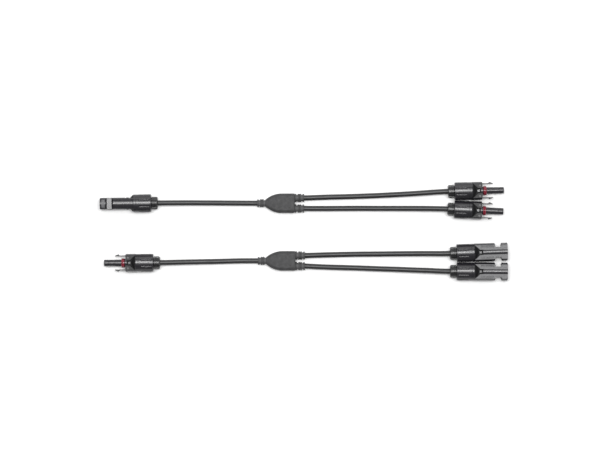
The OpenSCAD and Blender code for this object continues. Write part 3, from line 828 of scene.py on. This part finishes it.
def make_connectors():
    plug_mesh = make_housing("plug_housing", plug_stations(), PLUG_SLOT, COLLAR_X, PLUG_WING)
    socket_mesh = make_housing("socket_housing", socket_stations(), SOCKET_SLOT, SOCKET_X, WING)
    nut = shared_mesh(nut_mesh(), NUT)
    ring = shared_mesh(seal_ring_mesh(), SEAL_RED)
    arms = {side: shared_mesh(latch_arm_mesh(sign), LATCH)
            for side, sign in (("left", 1), ("right", -1))}
    for connector in PLUGS + SOCKETS:
        housing = plug_mesh if connector in PLUGS else socket_mesh
        place(connector + "_shell", housing, connector, connector, connector + "_housing")
        place(connector + "_ribbed_nut", nut, connector, connector + "_nut",
              connector + "_cap_nut")
    for connector in PLUGS:
        place(connector + "_red_ring", ring, connector, connector, connector + "_seal_ring")
        for side, mesh in arms.items():
            place(f"{connector}_{side}_arm", mesh, connector, f"{connector}_latch_{side}",
                  f"{connector}_latch_arm_{side}")


make_connectors()

# ---------------------------------------------------------------- splitters

# In the splitter's own frame, in mm, with X running from the trunk's relief to the branches.
SPLIT_W, SPLIT_T, BRANCH_Y = 21.4, 11.0, 5.85
NOSE_X, FULL_X, SPLIT_END = 8.4, 27.0, 41.3
PLAN_R, SIDE_R, END_ROUND = 27.2, 92.0, 1.2
PITS = ((17.8, 0.0), (35.2, 5.2), (35.2, -5.2))
GROOVE_R, WEB_R, BAND_EDGE = 3.3, 3.9, 0.25
# Each relief's bands: from X, to X, radius.
TRUNK_BANDS = ((0.0, 1.6, 4.2), (1.6, 3.0, 3.3), (3.0, 4.8, 4.5), (4.8, 5.3, 4.0),
               (5.3, 7.0, 4.5), (7.0, 8.5, 3.3), (8.5, 10.0, 3.6))
BRANCH_BANDS = ((41.2, 42.9, 4.6), (42.9, 44.4, 3.3), (44.4, 46.2, 4.5), (46.2, 46.6, 4.0),
                (46.6, 48.3, 4.5), (48.3, 49.9, 3.3), (49.9, 51.4, 4.4))


def bullet(x, half, radius):
    """Half width of the bullet-shaped body, from an arc that meets its straight sides."""
    back = max(0.0, FULL_X - x)
    return half - radius + math.sqrt(radius**2 - back**2)


def splitter_body():
    """The bullet-shaped body, closed at both ends."""
    back_x = SPLIT_END - END_ROUND
    xs = [NOSE_X, *spaced(NOSE_X, FULL_X, 0.45), FULL_X, *spaced(FULL_X, back_x, 1.0)]
    xs += arc_stations(back_x, SPLIT_END, 8)
    stations = []
    for x in xs:
        rounding = end_rounding(SPLIT_END - x, END_ROUND)
        half_w = bullet(x, SPLIT_W / 2, PLAN_R) - rounding
        half_h = bullet(x, SPLIT_T / 2, SIDE_R) - 0.6 * rounding
        corner = min(3.8, 0.9 * min(half_w, half_h))
        stations.append((x, rounded_rect_radius(half_w, half_h, corner)))
    rings = field_rings([(stations[0][0], stations[0][1] * 0.5), *stations,
                         (SPLIT_END, stations[-1][1] * 0.5)])
    return ring_mesh("splitter_body", rings)


def relief_mesh(bands, y, inner):
    """A ribbed strain relief round one cable, its rings joined by webs above and below."""
    web = smooth_step(np.abs(SIN), 0.955, 0.975)
    stations = [(bands[0][0] + 0.5, inner), (bands[0][0], inner)]
    for x0, x1, r in bands:
        ring = np.full(SIDES, r) + ((WEB_R - r) * web if r == GROOVE_R else 0.0)
        drop = 0.0 if r < WEB_R else BAND_EDGE
        stations += [(x0 + 0.001, ring - drop), (x0 + drop * 0.3, ring - drop * 0.3),
                     (x0 + drop, ring), (x1 - drop, ring), (x1 - drop * 0.3, ring - drop * 0.3),
                     (x1 - 0.001, ring - drop)]
    stations += [(bands[-1][1], inner), (bands[-1][1] - 0.5, inner)]
    rings = field_rings(stations)
    rings[:, :, 1] += y * MM
    return ring_mesh("relief", rings)


def pit_cutter(x, y):
    """A round pit in the top, left by a pin that held the splice in the mould."""
    form = bmesh.new()
    bmesh.ops.create_cone(form, cap_ends=True, segments=32, radius1=0.62 * MM, radius2=0.95 * MM,
                          depth=1.2 * MM)
    bmesh.ops.translate(form, vec=(x * MM, y * MM, (SPLIT_T / 2 + 0.05) * MM), verts=form.verts)
    return add_object("cutter", mesh_from(form, "cutter"))


def make_splitter_mesh():
    """The body with its pits, and the three reliefs, as shells of one mesh."""
    piece = add_object("splitter", splitter_body(), SPLITTER)
    cut(piece, [pit_cutter(x, y) for x, y in PITS])
    mesh = piece.data
    bpy.data.objects.remove(piece)
    cable_r = CABLE_D / 2 / MM + 0.02
    form = bmesh.new()
    form.from_mesh(mesh)
    form.from_mesh(relief_mesh(TRUNK_BANDS, 0.0, cable_r))
    for y in (BRANCH_Y, -BRANCH_Y):
        form.from_mesh(relief_mesh(BRANCH_BANDS, y, cable_r))
    form.to_mesh(mesh)
    form.free()
    finish_shading(mesh, 38.0)
    return mesh


def make_splitters():
    mesh = make_splitter_mesh()
    for lead in ("a", "b"):
        node = lead + "_splitter_overmould"
        low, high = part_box(node)
        piece = link_object(lead + "_splitter_moulding", mesh)
        piece.location = (low[0], (low[1] + high[1]) / 2, (low[2] + high[2]) / 2)
        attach(piece, lead + "_lead")
        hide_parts(node)


make_splitters()

# ---------------------------------------------------------------- CAD pieces that stay

CAD_FINISH = {"cable_seal": GLAND, "clamp_claw": CLAW, "socket_contact": TIN, "pin_contact": TIN,
              "contact_spring": STEEL, "splitter_splice": COPPER}


def finish_cad_pieces():
    """Gives the pieces inside the connectors and splitters their materials."""
    for name, piece in NODES.items():
        for ending, material in CAD_FINISH.items():
            if name.endswith(ending):
                piece.data.materials.clear()
                piece.data.materials.append(material)


finish_cad_pieces()

# ---------------------------------------------------------------- floor and light


FLOOR_HALF = 3.0
ROOM_LIGHT = 0.3
# Each lamp: name, position, size in metres and watts. All of them face the middle.
LAMPS = (("overhead", (0.0, 0.45, 2.5), (2.0, 1.7), 34.0),
         ("strip", (0.0, 0.25, 2.4), (1.5, 0.34), 34.0),
         ("side", (0.0, 2.6, 1.0), (3.0, 1.6), 24.0))


def make_floor():
    mesh = bpy.data.meshes.new("floor")
    corners = [(x * FLOOR_HALF, y * FLOOR_HALF, 0) for x, y in ((-1, -1), (1, -1), (1, 1), (-1, 1))]
    mesh.from_pydata(corners, [], [(0, 1, 2, 3)])
    material, _, shader = new_material("pale_floor", (0.93, 0.93, 0.93), 0.9)
    shader.inputs["Specular IOR Level"].default_value = 0.1
    add_object("floor", mesh, material)


def area_light(name, spot, size, watts):
    data = bpy.data.lights.new(name, "AREA")
    data.shape = "RECTANGLE"
    data.size, data.size_y = size
    data.energy = watts
    lamp = link_object(name, data)
    lamp.location = spot
    lamp.rotation_euler = (-Vector(spot)).to_track_quat("-Z", "Y").to_euler()
    lamp.visible_camera = False


def make_light():
    world = bpy.data.worlds.new("studio")
    world.use_nodes = True
    background = world.node_tree.nodes["Background"]
    background.inputs["Color"].default_value = (1.0, 1.0, 1.0, 1.0)
    background.inputs["Strength"].default_value = ROOM_LIGHT
    bpy.context.scene.world = world
    for lamp in LAMPS:
        area_light(*lamp)


make_floor()
make_light()
bpy.context.scene.view_settings.view_transform = "Standard"
